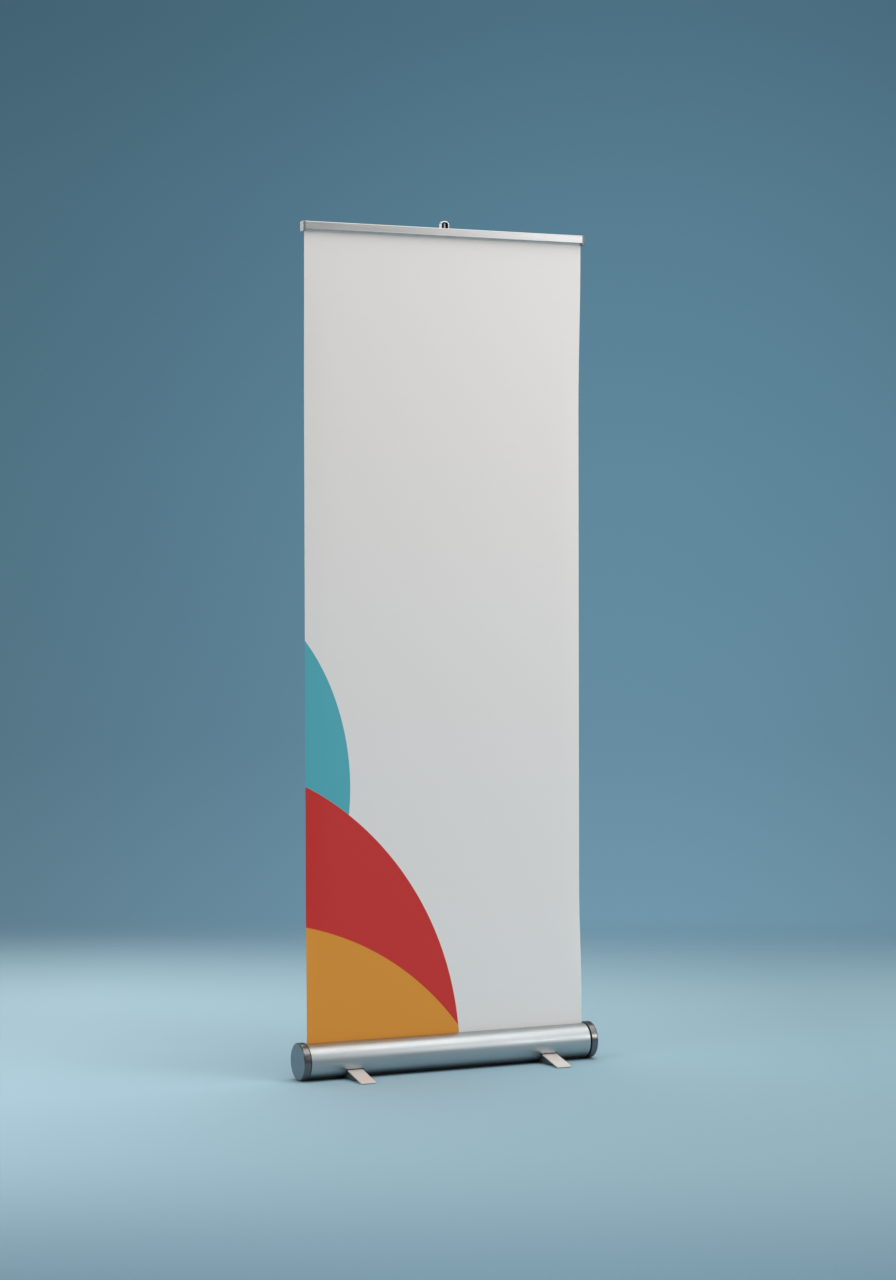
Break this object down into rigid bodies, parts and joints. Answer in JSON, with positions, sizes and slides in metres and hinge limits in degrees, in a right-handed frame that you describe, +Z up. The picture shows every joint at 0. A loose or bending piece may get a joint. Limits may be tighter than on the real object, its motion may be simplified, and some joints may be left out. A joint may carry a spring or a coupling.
{
  "type": "roll-up banner stand",
  "caption": "Roll-up banner stand: printed sheet on a spring roller in a round aluminium cassette, held up by a telescopic pole and clamp rail, on swivel feet.",
  "frame": {"origin": "on the floor under the middle of the cassette, which is the bottom centre of the bounding box", "axes": "+Z up along the banner's height; X along the cassette and the banner's width, +X to the right seen from the front; +Y backwards, so the printed face looks along -Y"},
  "size_m": [0.8522, 0.2562, 2.2255],
  "materials": {
    "cassette_aluminium": "brushed anodised, satin",
    "rail_aluminium": "clear anodised, satin",
    "pole_aluminium": "clear anodised, satin",
    "steel": "bright zinc plated",
    "bright_steel": "polished",
    "cap_gunmetal": "satin gunmetal",
    "black_plastic": "fine matt",
    "light_plastic": "smooth, light grey",
    "rubber": "matt black",
    "felt": "black pile",
    "banner_film": "printed film, matt",
    "foot_paint": "light grey powder coat"
  },
  "bodies": {
    "base": {"cassette_tube": "cassette_aluminium", "end_plate_left": "black_plastic", "end_plate_right": "black_plastic", "end_screw_left_1": "steel", "end_screw_left_2": "steel", "end_screw_left_3": "steel", "end_screw_right_1": "steel", "end_screw_right_2": "steel", "end_screw_right_3": "steel", "end_cap_left": "cap_gunmetal", "end_cap_right": "cap_gunmetal", "brush_front": "felt", "brush_rear": "felt", "roller_axle": "steel", "spring_shaft": "steel", "torsion_spring": "steel", "banner_sheet": "banner_film", "pole_socket": "black_plastic", "pole_lower": "pole_aluminium", "pole_foot_plug": "rubber", "foot_bracket_front_left": "black_plastic", "foot_bracket_front_right": "black_plastic", "foot_bracket_rear_left": "black_plastic", "foot_bracket_rear_right": "black_plastic", "bracket_screw_front_left": "steel", "bracket_screw_front_right": "steel", "bracket_screw_rear_left": "steel", "bracket_screw_rear_right": "steel"},
    "roller": {"roller_tube": "cassette_aluminium", "roller_plug_left": "black_plastic", "roller_plug_right": "black_plastic", "spring_anchor": "black_plastic", "banner_wrap": "banner_film"},
    "lower_collar": {"collar_lower": "black_plastic"},
    "mid_pole": {"pole_mid": "pole_aluminium"},
    "mid_collar": {"collar_mid": "black_plastic"},
    "top_pole": {"pole_top": "pole_aluminium", "pole_head": "black_plastic", "hook_tongue": "bright_steel"},
    "top_rail": {"rail_back": "rail_aluminium", "rail_cap_left": "light_plastic", "rail_cap_right": "light_plastic", "grip_strip": "rubber", "rail_hanger": "bright_steel", "hanger_liner": "black_plastic"},
    "rail_jaw": {"rail_jaw": "rail_aluminium"},
    "foot_front_left": {"foot_plate_front_left": "foot_paint", "foot_pin_front_left": "steel", "foot_pad_front_left": "rubber"},
    "foot_front_right": {"foot_plate_front_right": "foot_paint", "foot_pin_front_right": "steel", "foot_pad_front_right": "rubber"},
    "foot_rear_left": {"foot_plate_rear_left": "foot_paint", "foot_pin_rear_left": "steel", "foot_pad_rear_left": "rubber"},
    "foot_rear_right": {"foot_plate_rear_right": "foot_paint", "foot_pin_rear_right": "steel", "foot_pad_rear_right": "rubber"}
  },
  "joints": [
    {"name": "pole_mid_slide", "type": "slide", "parent": "base", "child": "mid_pole", "axis": [0, 0, 1], "range_m": [-0.66, 0], "deforming": ["banner_sheet"]},
    {"name": "pole_top_slide", "type": "slide", "parent": "mid_pole", "child": "top_pole", "axis": [0, 0, 1], "range_m": [-0.66, 0]},
    {"name": "roller_spin", "type": "hinge", "parent": "base", "child": "roller", "pos_m": [0, -0.0148, 0.046], "axis": [1, 0, 0], "range_deg": [-5115, 0]},
    {"name": "collar_lower_twist", "type": "hinge", "parent": "base", "child": "lower_collar", "pos_m": [0, 0.019, 0.765], "axis": [0, 0, 1], "range_deg": [0, 90]},
    {"name": "collar_mid_twist", "type": "hinge", "parent": "mid_pole", "child": "mid_collar", "pos_m": [0, 0.019, 1.475], "axis": [0, 0, 1], "range_deg": [0, 90]},
    {"name": "rail_lift", "type": "slide", "parent": "top_pole", "child": "top_rail", "axis": [0, 0, 1], "range_m": [0, 0.008]},
    {"name": "jaw_open", "type": "hinge", "parent": "top_rail", "child": "rail_jaw", "pos_m": [0, -0.0084, 2.203], "axis": [-1, 0, 0], "range_deg": [0, 40]},
    {"name": "foot_front_left_swing", "type": "hinge", "parent": "base", "child": "foot_front_left", "pos_m": [-0.282, -0.05974, 0.01942], "axis": [0, -0.225, 0.9744], "range_deg": [0, 90]},
    {"name": "foot_front_right_swing", "type": "hinge", "parent": "base", "child": "foot_front_right", "pos_m": [0.282, -0.05974, 0.01942], "axis": [0, 0.225, -0.9744], "range_deg": [0, 90]},
    {"name": "foot_rear_left_swing", "type": "hinge", "parent": "base", "child": "foot_rear_left", "pos_m": [-0.282, 0.05974, 0.01942], "axis": [0, -0.225, -0.9744], "range_deg": [0, 90]},
    {"name": "foot_rear_right_swing", "type": "hinge", "parent": "base", "child": "foot_rear_right", "pos_m": [0.282, 0.05974, 0.01942], "axis": [0, 0.225, 0.9744], "range_deg": [0, 90]}
  ],
  "couplings": [
    {"joint": "pole_top_slide", "follows": "pole_mid_slide", "ratio": 1},
    {"joint": "roller_spin", "follows": "pole_mid_slide", "rad_per_m": 135.13}
  ]
}
